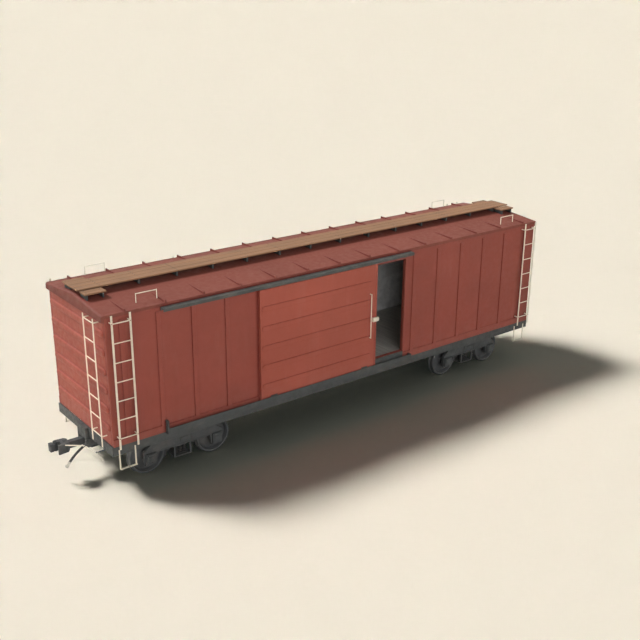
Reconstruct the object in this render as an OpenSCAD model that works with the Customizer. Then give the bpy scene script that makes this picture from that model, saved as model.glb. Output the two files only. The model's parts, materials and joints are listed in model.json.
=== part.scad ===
// Forty-foot steel boxcar, millimetres.
// +Z is up, +X runs along the car to its B end, the right side is at -Y.
// The origin is under the middle of the car, on the plane that the wheel flanges stand on.

/* [Car body] */
// Length over the end sheets
body_len = 12670; // [11000:10:14000]
// Width over the side posts
body_w = 2745; // [2650:5:2900]
// Height of the side sheets
wall_h = 2790; // [2600:5:3200]
// Thickness of a whole side or end wall
wall_t = 80; // [60:1:100]
// How far the side posts stand out of the sheet
post_out = 25; // [15:1:40]
// Width of a side post
post_w = 100; // [60:1:140]
// Distance from a doorway to the nearest post
post_from_door = 310; // [200:1:400]
// Distance from the end sheet to the outermost post
post_from_end = 345; // [330:1:400]
// Side posts on each side of a doorway
post_count = 6; // [3:1:6]
// Height of the raised band along the foot of a side wall
foot_band_h = 160; // [80:1:180]
// Thickness of the floor planks
floor_t = 60; // [40:1:80]
// Depth of the floor stringers
stringer_h = 140; // [100:1:160]

/* [End ribs] */
// Ribs pressed into each end
end_rib_count = 6; // [3:1:6]
// Distance between end ribs
end_rib_pitch = 412; // [300:1:420]
// Height of an end rib
end_rib_h = 150; // [80:1:200]
// How far an end rib stands out
end_rib_out = 45; // [20:1:50]
// Length of an end rib
end_rib_len = 2540; // [1800:10:2600]

/* [Doors] */
// Width of a doorway
doorway_w = 3200; // [1800:10:3200]
// Height of the threshold over the foot of the wall
threshold_h = 220; // [205:1:270]
// Height of a doorway
doorway_h = 2400; // [2000:5:2460]
// Width of a door
door_w = 3375; // [3300:5:3400]
// Thickness of a door without its ribs
door_t = 68; // [40:1:80]
// Gap between a door and the side posts
door_gap = 10; // [6:1:15]
// How far the right door stands open
right_door_open = 1070; // [0:10:2400]
// Ribs on each door
door_rib_count = 5; // [2:1:5]
// Distance between door ribs
door_rib_pitch = 460; // [300:1:470]
// Height of a door rib
door_rib_h = 110; // [60:1:200]
// How far a door rib stands out
door_rib_out = 14; // [6:1:16]

/* [Roof] */
// How far the roof runs past each end sheet
roof_over = 65; // [20:1:100]
// How far the side posts stand out past the roof's edge
roof_inset = 20; // [0:1:30]
// Depth of the roof's edge
eave_h = 65; // [50:1:80]
// Rise from the eave to the ridge
roof_rise = 130; // [90:1:200]
// Thickness of the roof
roof_t = 55; // [40:1:60]
// Roof seams along the car
seam_count = 14; // [6:2:14]
// Distance from the roof's end to the first seam
seam_margin = 511; // [450:1:560]
// Length of a seam cap, in from the eave
seam_len = 700; // [300:10:760]
// Height of a seam cap at the eave
seam_h = 55; // [20:1:70]
// Height of the top of the running board over the eave
board_rise = 265; // [220:1:300]
// Width of the running board
board_w = 600; // [400:5:700]
// Thickness of the running board
board_t = 35; // [25:1:45]

/* [Ladders] */
// Width of a ladder between its stile centres
ladder_w = 400; // [350:5:420]
// Width of an end ladder between its stile centres
end_ladder_w = 450; // [380:5:480]
// Distance between rungs
rung_pitch = 414; // [300:1:420]
// Rungs on each ladder
rung_count = 7; // [4:1:7]
// Radius of a rung
rung_r = 11; // [8:0.5:14]
// Distance from the wall to a ladder
ladder_gap = 122; // [100:1:140]

/* [Underframe] */
// Height of the top of the centre and side sills
sill_h = 210; // [180:1:250]
// Height of the centre sill's lower edge over the truck's bowl
sill_over_bowl = 50; // [40:1:70]
// Height of the side sheets' lower edge over the centre sill's
body_over_sill = 480; // [470:1:500]
// Distance between the webs of the centre sill
center_sill_gap = 300; // [290:1:340]
// Height of the coupler's axis over the centre sill's lower edge
coupler_over_sill = 125; // [115:1:140]
// Distance from the end sheet to the coupler's face
coupler_out = 815; // [800:1:900]

/* [Trucks] */
// Distance from the end sheet to a truck's centre
truck_inset = 1835; // [1700:5:2100]
// Distance between the axles of a truck
wheelbase = 1660; // [1600:1:1700]
// Radius of a wheel's tread
wheel_r = 419; // [400:1:430]
// Height of the flange over the tread
flange_h = 25; // [20:1:30]
// Distance between the backs of a pair of wheels
wheel_back = 1353; // [1340:1:1360]
// Width of a wheel's rim
rim_w = 140; // [120:1:145]
// Distance between the journals of an axle
journal_gap = 1860; // [1850:1:1890]
// Radius of an axle journal
journal_r = 70; // [60:1:75]
// Radius of an axle where a wheel is pressed on
seat_r = 95; // [90:1:100]
// Height of the truck's centre bowl over the axles
bowl_over_axle = 206; // [196:1:226]

/* [Hidden] */

$fn = 48;
touch = 0.3;          // gap between faces that rest on each other across a joint
fit = 0.1;            // radial clearance of a running fit

axle_z = wheel_r + flange_h;
bowl_z = axle_z + bowl_over_axle;       // top of the truck's centre bowl
center_sill_z = bowl_z + sill_over_bowl;
body_z = center_sill_z + body_over_sill;    // lower edge of the side sheets
wall_top = body_z + wall_h;
threshold_z = body_z + threshold_h;
doorway_top = threshold_z + doorway_h;
coupler_z = center_sill_z + coupler_over_sill;
roof_len = body_len + 2*roof_over;
roof_w = body_w - 2*roof_inset;
seam_pitch = (roof_len - 2*seam_margin)/(seam_count - 1);

sheet_y = body_w/2 - post_out;          // outer face of the side sheet
wall_y = sheet_y - wall_t;              // inner face of the side wall
end_x = body_len/2;                     // outer face of the end sheet
wall_x = end_x - wall_t;                // inner face of the end wall
eave_z = wall_top + eave_h;
ridge_z = eave_z + roof_rise;
stringer_top = body_z + stringer_h;
floor_top = stringer_top + floor_t;
sill_y = sheet_y + 2.5;                 // outer face of the side sill
plate = 12;                             // common plate thickness

track_top = wall_top - 5;               // upper door track
track_drop = 75;
track_plate = 12;
door_back = body_w/2 + door_gap;
door_face = door_back + door_t;
track_lip = door_face + door_rib_out + 8;   // inner face of the tracks' outer lips
door_z = body_z + 40;
door_top = track_top - track_drop - 20;
door_rest = [-door_w/2 - right_door_open, -door_w/2];   // left edge of each door: right, left side
slot_w = 40;                            // guide on the top of a door
side_ladder_x = end_x - 295;
stile_w = 40;
track_post_w = 40;
track_from_ladder = 672.5;              // clear length between a side ladder and a door track
track_x = [-(side_ladder_x - ladder_w/2 - stile_w/2 - track_from_ladder - track_post_w), door_w/2 + 77.5];

truck_x = end_x - truck_inset;
axle_x = wheelbase/2;
frame_y = journal_gap/2;                // middle of a side frame
frame_t = 90;
frame_in = frame_y - frame_t/2;         // inner face of a side frame
plate_r = 178;                          // centre plate
bearing_y = 640;                        // side bearings
bearing_h = 60;
web_t = 15;
web_y = center_sill_gap/2;              // inner face of a centre sill web
sill_out = web_y + web_t;
bar_t = 12;                             // ladder stiles and steps
post_top = track_top - track_drop - 5;
coupler_x = end_x + coupler_out;        // coupler's face
draft_x = end_x - 435;                  // coupler's pivot
striker_out = 105;
striker_w = 420;
end_sill_t = 30;
end_sill_z = body_z - 215;
shank_h = 150;
shank_w = 124;
knuckle_at = [coupler_x - 150, -100];
lug_r = 55;
lug_t = 28;
head_h = 210;                           // height of a coupler head
pipe_y = 300;
pipe_z = 930;
pipe_r = 21;
hose_r = 27;
tank_y = 620;
cream = [0.88, 0.84, 0.75];
dark = [0.23, 0.25, 0.25];
red = [0.55, 0.29, 0.25];
wood = [0.63, 0.5, 0.38];

// Hose route: distance from the end sheet, height
hose_path = [[190, 845], [218, 830], [246, 814], [273, 798], [300, 780], [327, 762], [353, 743], [378, 724],
             [403, 704], [427, 683], [451, 661], [474, 639], [496, 616], [518, 593], [539, 569], [559, 544]];
hose_sides = 12;
hose_lean = atan2(hose_path[0][1] - hose_path[1][1], hose_path[1][0] - hose_path[0][0]);

module at_both_ends() { for (a = [0, 180]) rotate([0, 0, a]) children(); }
module on_both_sides() { for (s = [0, 1]) mirror([0, s, 0]) children(); }
module block(x, y, z) { translate([x[0], y[0], z[0]]) cube([x[1] - x[0], y[1] - y[0], z[1] - z[0]]); }
// Outline in Y and Z, drawn out along X
module along_x(x0, x1, outline) {
    translate([x0, 0, 0]) rotate([90, 0, 90]) linear_extrude(x1 - x0) polygon(outline);
}
// Outline in X and Z, drawn out along Y
module along_y(y0, y1) { translate([0, y1, 0]) rotate([90, 0, 0]) linear_extrude(y1 - y0) children(); }
module rod_x(x0, x1, y, z, r) { translate([x0, y, z]) rotate([0, 90, 0]) cylinder(h = x1 - x0, r = r); }
module rod_y(x, y0, y1, z, r) { translate([x, y1, z]) rotate([90, 0, 0]) cylinder(h = y1 - y0, r = r); }
module rod_z(x, y, z0, z1, r) { translate([x, y, z0]) cylinder(h = z1 - z0, r = r); }
// A round bar through the points of a path
module bar(path, r) {
    for (i = [0:len(path) - 2]) {
        d = path[i + 1] - path[i];
        translate(path[i]) rotate([0, acos(d[2]/norm(d)), atan2(d[1], d[0])]) cylinder(h = norm(d), r = r);
    }
    for (p = path) translate(p) sphere(r = r + 2);
}
// Round-ended bar in the drawing plane
module pill(len, h) {
    square([len - h, h], center = true);
    for (s = [-1, 1]) translate([s*(len - h)/2, 0]) circle(d = h);
}

// ---- underframe ----
module center_sill() {
    color(dark) difference() {
        center_sill_plates();
        rod_y(0, -2*web_y, 2*web_y, pipe_z, pipe_r + 9);
    }
}
module center_sill_plates() {
    union() {
        for (s = [-1, 1]) {
            block([-end_x, end_x], s > 0 ? [web_y, sill_out] : [-sill_out, -web_y], [center_sill_z, body_z]);
            block([-end_x, end_x], s > 0 ? [sill_out, sill_out + 50] : [-sill_out - 50, -sill_out],
                  [center_sill_z, center_sill_z + web_t]);
        }
        block([-end_x, end_x], [-web_y - 60, web_y + 60], [body_z - web_t, body_z]);
        at_both_ends() {
            block([draft_x - 90, draft_x + 90], [-web_y, web_y],
                  [coupler_z - shank_h/2 - 30, coupler_z - shank_h/2 - 10]);
            rod_z(draft_x, 0, coupler_z - shank_h/2 - 20, body_z - web_t, 35);
        }
    }
}
module side_sills() {
    color(dark) on_both_sides() difference() {
        block([-end_x, end_x], [sill_y - 80, sill_y], [body_z - sill_h, body_z]);
        block([-end_x - 1, end_x + 1], [sill_y - 81, sill_y - plate], [body_z - sill_h + plate, body_z - plate]);
    }
}
module pipe_holes() {
    for (s = [-1, 1]) rod_x(-end_x, end_x, s*pipe_y, pipe_z, pipe_r + 9);
}
// Half a cross member, from the centre sill out to the side sill
module arm_outline(z_in) {
    polygon([[sill_out, z_in], [sill_y - 80, body_z - sill_h], [sill_y - 80, body_z], [web_y + 60, body_z],
             [web_y + 60, body_z - web_t], [sill_out, body_z - web_t]]);
}
module arm(x, half, z_in) {
    translate([x, 0, 0]) {
        for (dx = half > 100 ? [-half/2, half/2] : [0])
            translate([dx - plate/2, 0, 0]) rotate([90, 0, 90]) linear_extrude(plate) arm_outline(z_in);
        translate([-half, 0, 0]) rotate([90, 0, 90]) linear_extrude(2*half)
            polygon([[sill_out + 55, z_in + 12], [sill_y - 80, body_z - sill_h],
                     [sill_y - 80, body_z - sill_h + 15], [sill_out + 55, z_in + 30]]);
    }
}
module cross_bearers() {
    color(dark) difference() {
        on_both_sides() for (x = [-0.6, -0.2, 0.2, 0.6]) arm(x*truck_x, 60, center_sill_z + 60);
        pipe_holes();
    }
}
module body_bolsters() {
    color(dark) at_both_ends() {
        difference() {
            on_both_sides() arm(truck_x, 150, center_sill_z + 30);
            pipe_holes();
        }
        block([truck_x - 180, truck_x + 180], [-web_y, web_y], [center_sill_z, body_z - web_t]);
        rod_z(truck_x, 0, bowl_z + touch, center_sill_z, plate_r);
        on_both_sides() block([truck_x - 60, truck_x + 60], [bearing_y - 50, bearing_y + 50],
                              [bowl_z + bearing_h + 6, bowl_z + bearing_h + 140]);
    }
}
module end_sills() {
    color(dark) at_both_ends() on_both_sides()
        block([end_x, end_x + end_sill_t], [striker_w/2, sill_y], [end_sill_z, body_z]);
}
module strikers() {
    color(dark) at_both_ends() difference() {
        block([end_x, end_x + striker_out], [-striker_w/2, striker_w/2],
              [coupler_z - shank_h/2 - 35, body_z]);
        block([end_x - 1, end_x + striker_out + 1], [-web_y, web_y],
              [coupler_z - shank_h/2 - 10, coupler_z + shank_h/2 + 20]);
    }
}
module floor_stringers() {
    color(wood) for (y = [200, 620, 1040]) on_both_sides()
        block([-wall_x, wall_x], [y - 45, y + 45], [body_z, stringer_top]);
}
module floor() {
    color(wood) block([-wall_x, wall_x], [-wall_y, wall_y], [stringer_top, floor_top]);
}

// ---- body ----
module side_wall() {
    post_first = doorway_w/2 + post_from_door;
    post_pitch = (end_x - post_from_end - post_first)/(post_count - 1);
    difference() {
        union() {
            block([-end_x, end_x], [wall_y, sheet_y], [body_z, wall_top]);
            block([-end_x, end_x], [sheet_y, sheet_y + post_out], [body_z, body_z + foot_band_h]);
            for (s = [-1, 1]) for (i = [0:post_count - 1])
                block([s*(post_first + i*post_pitch) - post_w/2, s*(post_first + i*post_pitch) + post_w/2],
                      [sheet_y, sheet_y + post_out], [body_z, post_top]);
        }
        block([-doorway_w/2, doorway_w/2], [wall_y - 1, sheet_y + 1], [threshold_z, doorway_top]);
    }
}
module end_wall() {
    block([wall_x, end_x], [-wall_y, wall_y], [body_z, wall_top]);
    for (i = [0:end_rib_count - 1])
        translate([end_x, 0, wall_top - 345 - i*end_rib_pitch]) rotate([90, 0, 90])
            linear_extrude(end_rib_out) pill(end_rib_len, end_rib_h);
}
module right_side_wall() { color(red) mirror([0, 1, 0]) side_wall(); }
module left_side_wall() { color(red) side_wall(); }
module end_wall_a() { color(red) rotate([0, 0, 180]) end_wall(); }
module end_wall_b() { color(red) end_wall(); }

// ---- roof ----
function roof_z(y) = eave_z + roof_rise*(1 - abs(y)/(roof_w/2));
module roof() {
    half = roof_w/2;
    color(red) union() {
        along_x(-roof_len/2, roof_len/2,
            [[-half, wall_top], [-half, eave_z], [0, ridge_z], [half, eave_z], [half, wall_top],
             [wall_y, wall_top], [wall_y, eave_z - roof_t/2], [0, ridge_z - roof_t],
             [-wall_y, eave_z - roof_t/2], [-wall_y, wall_top]]);
        at_both_ends() {
            along_x(wall_x, roof_len/2, [[-half, wall_top], [-half, eave_z], [0, ridge_z], [half, eave_z],
                                         [half, wall_top]]);
            block([end_x, roof_len/2], [-half, half], [wall_top - 75, wall_top]);
        }
        for (i = [0:seam_count - 1]) on_both_sides()
            along_x((i - (seam_count - 1)/2)*seam_pitch - 16, (i - (seam_count - 1)/2)*seam_pitch + 16,
                [[half - seam_len, roof_z(half - seam_len) - 5], [half - seam_len, roof_z(half - seam_len)],
                 [half - 40, roof_z(half - 40) + seam_h*0.8], [half, eave_z + seam_h], [half, eave_z - 5]]);
    }
}
board_top = eave_z + board_rise;
board_x = roof_len/2;
side_board_x = [board_x - 520, board_x - 50];
side_board_y = [board_w/2 - 10, board_w/2 + 260];
side_board_top = board_top - board_t - 5;
module running_board() {
    color(wood) block([-board_x, board_x], [-board_w/2, board_w/2], [board_top - board_t, board_top]);
}
module running_board_saddles() {
    w = board_w/2 - 60;
    color(dark) {
        for (i = [0:seam_count - 1]) translate([(i - (seam_count - 1)/2)*seam_pitch, 0, 0])
            along_x(-22, 22, [[-w, roof_z(w) + touch], [0, ridge_z + touch], [w, roof_z(w) + touch],
                              [w, board_top - board_t],
                              [-w, board_top - board_t]]);
        at_both_ends() on_both_sides() for (x = side_board_x) translate([x - (x > side_board_x[0] ? 60 : -60), 0, 0])
            along_x(-15, 15, [[w + 2, roof_z(w + 2) + touch],
                              [side_board_y[1] - 20, roof_z(side_board_y[1] - 20) + touch],
                              [side_board_y[1] - 20, side_board_top - board_t], [w + 2, side_board_top - board_t]]);
    }
}
module lateral_boards() {
    color(wood) at_both_ends() on_both_sides()
        block(side_board_x, side_board_y, [side_board_top - board_t, side_board_top]);
}

// ---- safety appliances ----
// A ladder in X and Z, its stiles' backs at y = 0, its middle at x = 0
module ladder(w, z0, z1, rung_top, back) {
    for (s = [-1, 1]) {
        block([s*w/2 - stile_w/2, s*w/2 + stile_w/2], [0, bar_t], [z0, z1]);
        for (z = [rung_top, rung_top - (rung_count - 1)*rung_pitch])
            rod_y(s*w/2, -back, bar_t/2, z, 12);
    }
    for (i = [0:rung_count - 1])
        rod_x(-w/2, w/2, bar_t/2, rung_top - i*rung_pitch, rung_r);
}
end_ladder_y = 845;
module left_side_ladders() {
    color(cream) for (s = [-1, 1]) translate([s*side_ladder_x, sheet_y + ladder_gap, 0])
        ladder(ladder_w, body_z - 30, eave_z + 15, wall_top - 90, ladder_gap);
}
module right_side_ladders() { rotate([0, 0, 180]) left_side_ladders(); }
module end_ladders() {
    color(cream) at_both_ends() translate([end_x + ladder_gap - 10, end_ladder_y, 0]) rotate([0, 0, -90])
        ladder(end_ladder_w, body_z - 70, wall_top - 50, wall_top - 140, ladder_gap - 10);
}
grab_h = 190;
grab_half = 235;
// Grab irons on the roof: middle from the nearest end sheet, distance in from the roof's edge, end, side
grab_irons = [[1070, 272.5, -1, -1], [860, 242.5, 1, -1], [1070, 32.5, -1, 1], [1035, 32.5, 1, 1]];
module roof_grab_irons() {
    color(cream) for (g = grab_irons) {
        x = g[2]*(end_x - g[0]);
        y = roof_w/2 - g[1];
        z = roof_z(y) + grab_h;
        for (s = [-1, 1]) rod_z(x + s*grab_half, g[3]*y, roof_z(y - 10) + touch, z, 10);
        bar([[x - grab_half, g[3]*y, z], [x + grab_half, g[3]*y, z]], 10);
    }
}
module stirrup_steps() {
    color(cream) at_both_ends() on_both_sides() {
        for (s = [-1, 1])
            block([side_ladder_x + s*180 - 15, side_ladder_x + s*180 + 15], [sill_y, sill_y + bar_t],
                  [body_z - 530, body_z - 90]);
        block([side_ladder_x - 195, side_ladder_x + 195], [sill_y, sill_y + 50],
              [body_z - 530, body_z - 530 + bar_t]);
    }
}

// ---- doors ----
module upper_door_track() {
    along_x(track_x[0], track_x[1],
        [[sheet_y, track_top - track_drop], [sheet_y, track_top], [track_lip + track_plate, track_top],
         [track_lip + track_plate, track_top - track_drop], [track_lip, track_top - track_drop],
         [track_lip, track_top - track_plate], [sheet_y + 17, track_top - track_plate],
         [sheet_y + 17, track_top - track_drop]]);
}
module lower_door_track() {
    along_x(track_x[0], track_x[1],
        [[sill_y, body_z - 15], [sill_y, body_z], [track_lip, body_z], [track_lip, body_z + 115],
         [track_lip + track_plate, body_z + 115], [track_lip + track_plate, body_z - 15]]);
    block([track_x[0] - track_post_w, track_x[0]], [sill_y, track_lip + track_plate],
          [body_z - 15, body_z]);
    block([track_x[0] - track_post_w, track_x[0]], [door_back, track_lip + track_plate],
          [body_z - 15, body_z + 290]);
    block([track_x[1], track_x[1] + track_post_w], [door_back, track_lip + track_plate],
          [body_z - 15, body_z + 115]);
}
module upper_door_tracks() { color(dark) at_both_ends() mirror([0, 1, 0]) upper_door_track(); }
module lower_door_tracks() { color(dark) at_both_ends() mirror([0, 1, 0]) lower_door_track(); }

// A door on the right side with its left edge at x = 0, open towards -X
module door() {
    block([0, door_w], [-door_face, -door_back], [door_z, door_top]);
    block([60, door_w - 60], [-door_back - door_t/2 - slot_w/2, -door_back - door_t/2 + slot_w/2],
          [door_top, track_top - track_plate - 15]);
    for (i = [0:door_rib_count - 1])
        translate([45 + (door_w - 195)/2, -door_face, door_top - 445 - i*door_rib_pitch]) rotate([90, 0, 0])
            linear_extrude(door_rib_out) pill(door_w - 195, door_rib_h);
    for (x = [350, door_w - 350])
        translate([x, -door_back, door_z - 20 + touch]) rotate([90, 0, 0]) cylinder(h = door_t, r = 20);
}
module door_handle() {
    x = door_w - 215;
    z = [door_top - 1810, door_top - 710];
    for (end_z = z) rod_y(x, -door_face - 60, -door_face, end_z, 11);
    bar([[x, -door_face - 60, z[0]], [x, -door_face - 60, z[1]]], 11);
    block([door_w - 130, door_w + 45], [-door_face - 45, -door_face], [door_top - 1430, door_top - 1330]);
}
module seated_handle() { difference() { door_handle(); door(); } }
module right_door() { color(red) translate([door_rest[0], 0, 0]) door(); }
module right_door_handle() { color(cream) translate([door_rest[0], 0, 0]) seated_handle(); }
module left_door() { color(red) rotate([0, 0, 180]) translate([door_rest[1], 0, 0]) door(); }
module left_door_handle() { color(cream) rotate([0, 0, 180]) translate([door_rest[1], 0, 0]) seated_handle(); }

// ---- brake gear ----
lever_z = coupler_z + 150;
lever_r = 12;
lever_path = [[end_x + 600, 286, lever_z], [end_x + 291, 535, lever_z], [end_x + 210, 1000, lever_z],
              [end_x + 155, 1143, lever_z - 135]];
module uncoupling_levers() {
    color(cream) at_both_ends() {
        // ten-sided bars, with a short upright collar at each bend
        for (i = [0:len(lever_path) - 2]) {
            d = lever_path[i + 1] - lever_path[i];
            translate(lever_path[i]) rotate([0, acos(d[2]/norm(d)), atan2(d[1], d[0])])
                cylinder(h = norm(d), r = lever_r, $fn = 10);
        }
        for (p = lever_path) translate([p[0], p[1], p[2] - lever_r - 2])
            cylinder(h = 2*lever_r + 4, r = lever_r + 2, $fn = 10);
        for (b = [[580, 290], [970, 222]]) block([end_x + end_sill_t, end_x + b[1]],
                                                 [b[0] - 10, b[0] + 10], [lever_z - 15, lever_z + 15]);
    }
}
module brake_pipe() {
    color(dark) union() {
        at_both_ends() {
            rod_x(0, end_x + 130, pipe_y, pipe_z, pipe_r);
            translate([0, pipe_y, pipe_z]) sphere(r = pipe_r);
            rod_y(0, 0, pipe_y, pipe_z, pipe_r);
            for (x = [3000, end_x - 60])
                block([x - 25, x + 25], [sill_out, pipe_y], [pipe_z - 12, pipe_z + 12]);
            translate([end_x + 130, pipe_y, pipe_z]) sphere(r = pipe_r + 9);
            rod_z(end_x + 130, pipe_y, hose_path[0][1] + 20, pipe_z, pipe_r);
            translate([end_x + 130, pipe_y, hose_path[0][1] + 25]) sphere(r = pipe_r + 9);
            translate([end_x + hose_path[0][0], pipe_y, hose_path[0][1]]) rotate([0, 90 + hose_lean, 0])
                translate([0, 0, -60]) cylinder(h = 60, r = hose_r);
        }
    }
}
module air_hose() {
    n = len(hose_path);
    ring = [for (i = [0:n - 1])
        let (a = hose_path[max(i - 1, 0)], b = hose_path[min(i + 1, n - 1)], d = (b - a)/norm(b - a))
        for (k = [0:hose_sides - 1])
            let (t = 360*k/hose_sides, c = hose_r*cos(t), s = hose_r*sin(t))
            [end_x + hose_path[i][0] - d[1]*s, pipe_y + c, hose_path[i][1] + d[0]*s]];
    sides = [for (i = [0:n - 2]) for (k = [0:hose_sides - 1])
        let (j = (k + 1) % hose_sides)
        [i*hose_sides + k, i*hose_sides + j, (i + 1)*hose_sides + j, (i + 1)*hose_sides + k]];
    polyhedron(points = ring, faces = concat([[for (k = [0:hose_sides - 1]) hose_sides - 1 - k]], sides,
        [[for (k = [0:hose_sides - 1]) (n - 1)*hose_sides + k]]));
}
module gladhand() {
    tip = hose_path[len(hose_path) - 1];
    back = hose_path[len(hose_path) - 2];
    lean = atan2(tip[0] - back[0], back[1] - tip[1]);
    translate([end_x + tip[0], pipe_y, tip[1]]) rotate([0, 180 - lean, 0]) union() {
        cylinder(h = 60, r = 30);
        translate([0, -38, 50]) cube([45, 76, 60]);
        translate([20, 0, 80]) rotate([0, 90, 0]) cylinder(h = 40, r = 34);
    }
}
module air_hose_a() { color(dark) rotate([0, 0, 180]) air_hose(); }
module air_hose_b() { color(dark) air_hose(); }
module gladhand_a() { color(cream) rotate([0, 0, 180]) gladhand(); }
module gladhand_b() { color(cream) gladhand(); }
module brake_cylinder() {
    color(dark) union() {
        rod_x(1300, 1800, tank_y, 900, 150);
        rod_x(1280, 1300, tank_y, 900, 175);
        rod_x(1800, 2200, tank_y, 900, 30);
        block([1450, 1650], [tank_y - 40, tank_y + 40], [1000, body_z]);
    }
}
module air_reservoir() {
    color(dark) union() {
        rod_x(-600, 300, tank_y, 900, 190);
        for (x = [-600, 300]) translate([x, tank_y, 900]) rotate([0, x > 0 ? 90 : -90, 0])
            cylinder(h = 60, r1 = 190, r2 = 110);
        for (x = [-400, 100]) block([x - 40, x + 40], [tank_y - 40, tank_y + 40], [1000, body_z]);
    }
}
module brake_valve() {
    color(dark) union() {
        block([-260, 40], [-tank_y - 110, -tank_y + 110], [840, 1080]);
        rod_x(-360, -260, -tank_y, 960, 80);
        rod_x(40, 140, -tank_y, 960, 80);
        block([-150, -70], [-tank_y - 40, -tank_y + 40], [1080, body_z]);
    }
}
module hand_brake() {
    z = wall_top - 480;
    y = -760;
    rim_x = end_x + 170;
    color(dark) union() {
        block([end_x + end_rib_out, rim_x - 40], [y - 110, y + 110], [z - 180, z + 150]);
        rod_x(rim_x - 40, rim_x + 15, y, z, 50);
        translate([rim_x, y, z]) rotate([0, 90, 0]) rotate_extrude() translate([240, 0]) circle(r = 14);
        for (a = [0:60:300]) translate([rim_x, y, z]) rotate([a, 0, 0]) cylinder(h = 235, r = 9);
    }
}

// ---- couplers ----
module coupler() {
    hx = coupler_x - 390;
    color(dark) difference() {
        union() {
            block([draft_x, hx + 30], [-shank_w/2, shank_w/2],
                  [coupler_z - shank_h/2, coupler_z + shank_h/2]);
            rod_z(draft_x, 0, coupler_z - shank_h/2, coupler_z + shank_h/2, 80);
            translate([0, 0, coupler_z - head_h/2]) linear_extrude(head_h) polygon([
                [hx, -80], [hx + 50, -140], [hx + 170, -150], [hx + 175, 20], [hx + 185, 90], [hx + 280, 130],
                [hx + 270, 170], [hx + 200, 160], [hx + 60, 150], [hx, 80]]);
            for (z = [coupler_z - head_h/2, coupler_z + head_h/2 - lug_t]) translate([0, 0, z]) {
                translate(knuckle_at) cylinder(h = lug_t, r = lug_r);
                translate([hx + 160, knuckle_at[1] - lug_r, 0])
                    cube([knuckle_at[0] - hx - 160, 2*lug_r, lug_t]);
            }
            rod_z(knuckle_at[0], knuckle_at[1], coupler_z - head_h/2 - 20, coupler_z + head_h/2 + 20, 20);
        }
        rod_z(draft_x, 0, coupler_z - shank_h/2 - 1, coupler_z + shank_h/2 + 1, 35 + fit);
    }
}
module knuckle() {
    h = head_h - 2*lug_t - 4;
    color(dark) difference() {
        union() {
            rod_z(knuckle_at[0], knuckle_at[1], coupler_z - h/2, coupler_z + h/2, 48);
            translate([0, 0, coupler_z - h/2]) linear_extrude(h) polygon([
                [knuckle_at[0], knuckle_at[1] - 48], [coupler_x - 20, -148], [coupler_x, -120],
                [coupler_x, -30], [coupler_x - 20, -10], [coupler_x - 100, -10], [coupler_x - 110, -55],
                [knuckle_at[0], knuckle_at[1] + 48]]);
            block([coupler_x - 80, coupler_x - 6], [-140, -20], [coupler_z - 90, coupler_z + 90]);
        }
        rod_z(knuckle_at[0], knuckle_at[1], coupler_z - h, coupler_z + h, 20 + fit);
    }
}
module coupler_a() { rotate([0, 0, 180]) coupler(); }
module coupler_b() { coupler(); }
module knuckle_a() { rotate([0, 0, 180]) knuckle(); }
module knuckle_b() { knuckle(); }

// ---- trucks ----
box_w = 240;            // journal box
box_h = 250;
bolster_w = 330;
bolster_z = [bowl_z - 190, bowl_z];
spring_y = 750;
spring_foot = axle_z - 209;
plank_t = 20;
strap_x = [bolster_w/2 + 15, bolster_w/2 + 55];
module side_frame() {
    difference() {
        union() {
            along_y(-frame_t/2, frame_t/2) polygon([
                [-axle_x - 150, axle_z - 110], [-axle_x - 150, axle_z + 170], [-axle_x + 40, axle_z + 330],
                [axle_x - 40, axle_z + 330], [axle_x + 150, axle_z + 170], [axle_x + 150, axle_z - 110],
                [axle_x - 150, axle_z - 110], [axle_x - 170, axle_z + 100], [-axle_x + 170, axle_z + 100],
                [-axle_x + 150, axle_z - 110]]);
            for (s = [-1, 1])
                block([s*axle_x - box_w/2, s*axle_x + box_w/2], [-80, 90], [axle_z - box_h/2, axle_z + box_h/2]);
        }
        for (s = [-1, 1]) rod_y(s*axle_x, -90, 75, axle_z, journal_r + fit);
    }
}
// Both side frames of a truck, with the spring plank that hangs between them on four straps
module side_frames(x) {
    color(dark) translate([x, 0, 0]) union() {
        translate([0, frame_y, 0]) side_frame();
        mirror([0, 1, 0]) translate([0, frame_y, 0]) side_frame();
        block([-strap_x[1], strap_x[1]], [-frame_in - 5, frame_in + 5], [spring_foot - plank_t, spring_foot]);
        for (m = [0, 1]) mirror([m, 0, 0]) on_both_sides()
            block(strap_x, [frame_in - 20, frame_in + 5], [spring_foot - plank_t, axle_z + 200]);
    }
}
module truck_bolster(x) {
    color(dark) translate([x, 0, 0]) union() {
        block([-bolster_w/2, bolster_w/2], [15 - frame_in, frame_in - 15], bolster_z);
        for (s = [-1, 1])
            block([-bolster_w/2, bolster_w/2], [s*bearing_y - 60, s*bearing_y + 60], [bowl_z, bowl_z + bearing_h]);
    }
}
module truck_springs(x) {
    color(dark) translate([x, 0, 0]) for (s = [-1, 1]) for (dx = [-105, 0, 105])
        rod_z(dx, s*spring_y, spring_foot, bolster_z[0], 48);
}
module side_frames_a() { side_frames(-truck_x); }
module side_frames_b() { side_frames(truck_x); }
module truck_bolster_a() { truck_bolster(-truck_x); }
module truck_bolster_b() { truck_bolster(truck_x); }
module truck_springs_a() { truck_springs(-truck_x); }
module truck_springs_b() { truck_springs(truck_x); }

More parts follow.
